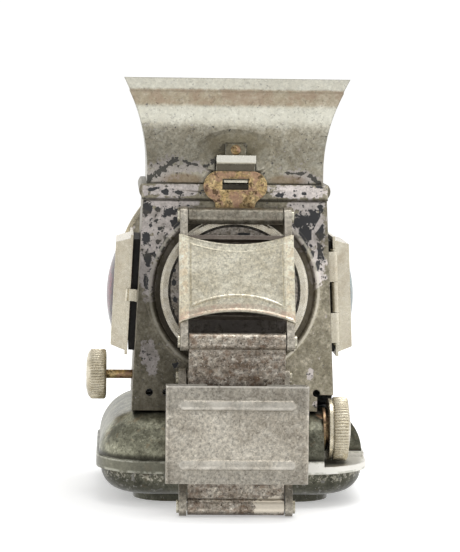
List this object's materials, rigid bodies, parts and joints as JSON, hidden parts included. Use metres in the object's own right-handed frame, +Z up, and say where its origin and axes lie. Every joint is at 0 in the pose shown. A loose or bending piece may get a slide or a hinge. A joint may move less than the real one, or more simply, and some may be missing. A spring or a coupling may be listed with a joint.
{
  "type": "cycle oil lamp",
  "caption": "Kerosene cycle lamp with flared crown hood, square oil font, side jewels, knurled wick knob and filler cap, and a sprung parallelogram rear bracket.",
  "frame": {"origin": "centre of the flat rest face under the font's foot", "axes": "+Z up, +Y toward the front lens, +X to the left of someone facing the lens; the bracket is at -Y"},
  "size_m": [0.0933, 0.117, 0.1393],
  "materials": {
    "worn_plate": "worn blackened plating, satin",
    "body_plate": "flaking grey plating over charcoal",
    "bracket_plate": "dull grey plate",
    "nickel": "old nickel plate, warm",
    "brass": "tarnished",
    "soot": "black japan, sooted",
    "spring": "oiled",
    "silver": "silvered",
    "clear_glass": "polished",
    "ruby_glass": "polished",
    "green_glass": "polished",
    "wick": "woven cotton",
    "washer": "oiled",
    "gasket": "matt"
  },
  "bodies": {
    "font": {"font_foot": "worn_plate", "font_lower_shell": "worn_plate", "font_band": "worn_plate", "font_upper_shell": "worn_plate", "burner_collar": "brass", "burner_body": "brass", "filler_neck": "brass"},
    "raiser": {"raiser_shaft": "brass", "wick_knob": "nickel"},
    "wick": {"wick": "wick"},
    "washer": {"cap_washer": "washer"},
    "cap": {"filler_cap": "nickel"},
    "body": {"rear_wall": "body_plate", "right_wall": "body_plate", "left_wall": "body_plate", "front_wall": "body_plate", "body_floor": "soot", "body_collar": "body_plate", "lens_drum": "body_plate", "lens_gasket": "gasket", "front_lens": "clear_glass", "front_bezel": "nickel", "reflector": "silver", "rear_disc": "nickel", "rear_ring": "nickel", "window_seats": "soot", "door_leaves": "nickel", "door_catches": "nickel", "right_pin": "nickel", "left_pin": "nickel", "collar_leaf": "nickel", "hood_pin": "nickel", "hasp_plate": "brass", "upper_bearing": "bracket_plate", "lower_bearing": "bracket_plate"},
    "right_door": {"right_frame": "nickel", "right_jewel": "green_glass", "right_jewel_ring": "nickel"},
    "left_door": {"left_frame": "nickel", "left_jewel": "ruby_glass", "left_jewel_ring": "nickel"},
    "hood": {"hood_crown": "body_plate", "hood_floor": "soot", "hood_chimney": "soot", "hood_baffle": "soot", "hood_leaf": "nickel", "catch_base": "nickel", "catch_rivet": "brass"},
    "catch": {"catch_spring": "nickel"},
    "upper_arm": {"upper_link": "bracket_plate", "link_cover": "nickel", "upper_pins": "nickel", "link_spring": "spring"},
    "lower_arm": {"lower_link": "bracket_plate", "lower_pins": "nickel"},
    "socket": {"socket_strip": "bracket_plate", "socket_channel": "bracket_plate", "socket_rivets": "bracket_plate"}
  },
  "joints": [
    {"name": "body_lift", "type": "slide", "parent": "font", "child": "body", "axis": [0, 0, 1], "range_m": [0, 0.04]},
    {"name": "raiser_turn", "type": "hinge", "parent": "font", "child": "raiser", "pos_m": [0, -0.0036, 0.0387], "axis": [1, 0, 0], "range_deg": [-121, 152]},
    {"name": "wick_lift", "type": "slide", "parent": "font", "child": "wick", "axis": [0, 0, 1], "range_m": [-0.0046, 0.0058]},
    {"name": "cap_lift", "type": "slide", "parent": "font", "child": "washer", "axis": [1, 0, 0], "range_m": [0, 0.006]},
    {"name": "cap_turn", "type": "hinge", "parent": "washer", "child": "cap", "pos_m": [0.035, -0.032, 0.0244], "axis": [1, 0, 0], "range_deg": [0, 1441]},
    {"name": "right_door_hinge", "type": "hinge", "parent": "body", "child": "right_door", "pos_m": [0.03407, -0.0214, 0.06711], "axis": [0.0455, 0, -0.999], "range_deg": [0, 95]},
    {"name": "left_door_hinge", "type": "hinge", "parent": "body", "child": "left_door", "pos_m": [-0.03407, 0.0214, 0.06711], "axis": [-0.0455, 0, -0.999], "range_deg": [0, 95]},
    {"name": "hood_hinge", "type": "hinge", "parent": "body", "child": "hood", "pos_m": [0, 0.0332, 0.1072], "axis": [-1, 0, 0], "range_deg": [0, 85]},
    {"name": "catch_flex", "type": "hinge", "parent": "hood", "child": "catch", "pos_m": [0, -0.03005, 0.1135], "axis": [1, 0, 0], "range_deg": [0, 20], "stiffness_Nm_per_rad": 0.02, "springref_deg": -0.57},
    {"name": "upper_pivot", "type": "hinge", "parent": "body", "child": "upper_arm", "pos_m": [0, -0.0354, 0.0945], "axis": [-1, 0, 0], "range_deg": [0, 40], "stiffness_Nm_per_rad": 0.19, "springref_deg": -29.79},
    {"name": "socket_pivot", "type": "hinge", "parent": "upper_arm", "child": "socket", "pos_m": [0, -0.05837, 0.05581], "axis": [-1, 0, 0], "range_deg": [-40.1, 0]},
    {"name": "lower_pivot", "type": "hinge", "parent": "body", "child": "lower_arm", "pos_m": [0, -0.0378, 0.04186], "axis": [-1, 0, 0], "range_deg": [0, 40.1]}
  ],
  "couplings": [
    {"joint": "raiser_turn", "follows": "wick_lift", "rad_per_m": 454.55},
    {"joint": "cap_turn", "follows": "cap_lift", "rad_per_m": 4188.8},
    {"joint": "socket_pivot", "follows": "upper_pivot", "ratio": -1},
    {"joint": "lower_pivot", "follows": "upper_pivot", "ratio": 1}
  ]
}
